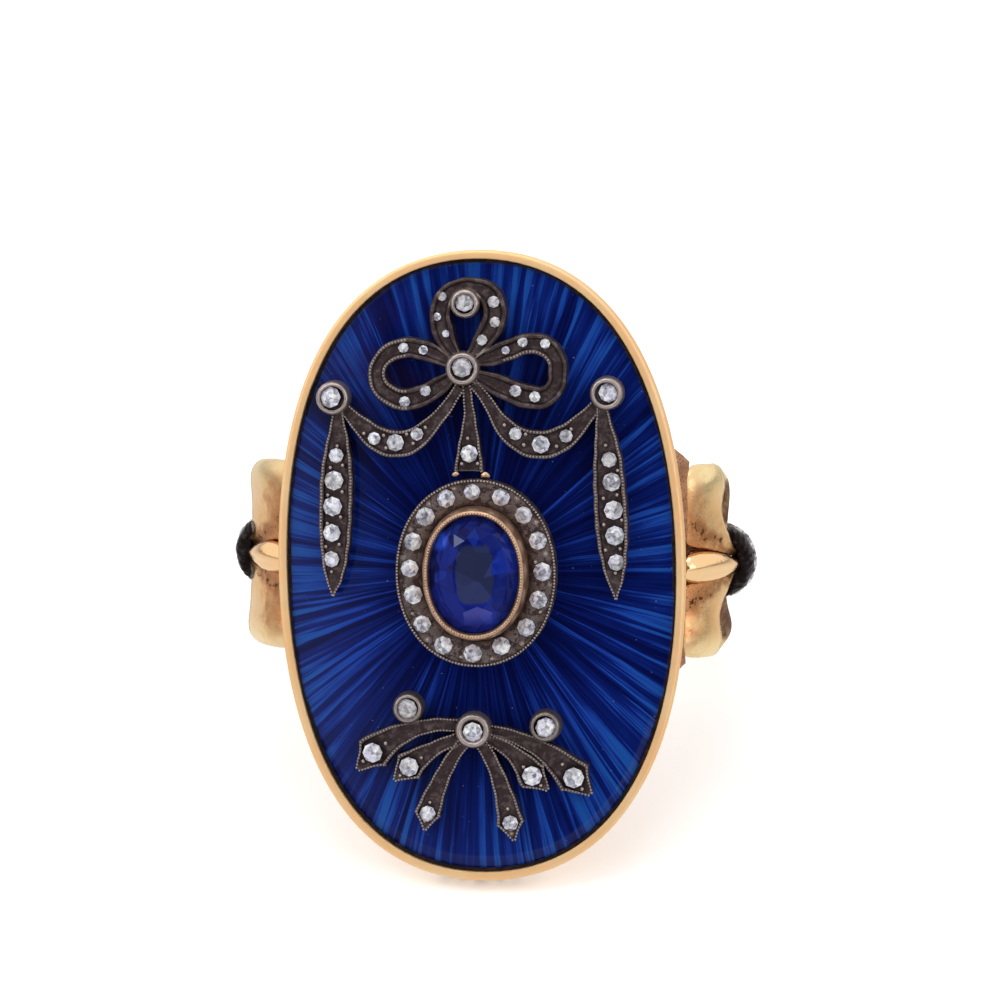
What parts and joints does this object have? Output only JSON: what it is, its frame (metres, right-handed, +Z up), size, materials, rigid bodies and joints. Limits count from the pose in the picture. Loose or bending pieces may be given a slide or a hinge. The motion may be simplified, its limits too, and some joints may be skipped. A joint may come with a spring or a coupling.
{
  "type": "sapphire and diamond ring",
  "caption": "Finger ring with a long oval blue enamel plate, a silver bow and spray of diamonds, an oval sapphire in a diamond halo, and a gold hoop with bow-shaped shoulders.",
  "frame": {"origin": "centre of the bounding box's base, on the table that the ring lies on", "axes": "+Z up and +X across the finger, to the right of the plate; the ring lies on the foot of its plate and the lower edge of its hoop, so the plate faces -Y and up, and the finger hole runs along +Y and +Z"},
  "size_m": [0.0254, 0.0281, 0.0261],
  "materials": {
    "gold": "polished yellow gold with a slight rose tone, worn, with dark tarnish in the creases",
    "enamel": "glossy translucent deep blue enamel over engine-turned rays",
    "silver": "dark oxidised silver with paler worn edges",
    "collet_gold": "satin gold with a milgrained lip",
    "sapphire": "polished cut sapphire, deep blue",
    "diamond": "polished single-cut diamond, white to grey"
  },
  "bodies": {
    "root": {"mount": "gold", "enamel_plate": "enamel", "bow_garland": "silver", "halo_frame": "silver", "sapphire_collet": "collet_gold", "sapphire": "sapphire", "spray": "silver", "left_knot": "silver", "right_knot": "silver", "bow_top_diamond": "diamond", "bow_centre_diamond": "diamond", "left_collet_diamond": "diamond", "right_collet_diamond": "diamond", "spray_centre_diamond": "diamond", "spray_left_diamond": "diamond", "spray_right_diamond": "diamond", "halo_diamond_1": "diamond", "halo_diamond_2": "diamond", "halo_diamond_3": "diamond", "halo_diamond_4": "diamond", "halo_diamond_5": "diamond", "halo_diamond_6": "diamond", "halo_diamond_7": "diamond", "halo_diamond_8": "diamond", "halo_diamond_9": "diamond", "halo_diamond_10": "diamond", "halo_diamond_11": "diamond", "halo_diamond_12": "diamond", "halo_diamond_13": "diamond", "halo_diamond_14": "diamond", "halo_diamond_15": "diamond", "halo_diamond_16": "diamond", "left_drop_diamond_1": "diamond", "left_drop_diamond_2": "diamond", "left_drop_diamond_3": "diamond", "left_drop_diamond_4": "diamond", "left_drop_diamond_5": "diamond", "right_drop_diamond_1": "diamond", "right_drop_diamond_2": "diamond", "right_drop_diamond_3": "diamond", "right_drop_diamond_4": "diamond", "right_drop_diamond_5": "diamond", "spray_diamond_1": "diamond", "spray_diamond_2": "diamond", "spray_diamond_3": "diamond", "spray_diamond_4": "diamond", "spray_diamond_5": "diamond", "spray_diamond_6": "diamond", "bow_diamonds": "diamond", "swag_diamonds": "diamond", "left_knot_diamonds": "diamond", "right_knot_diamonds": "diamond"}
  },
  "joints": []
}
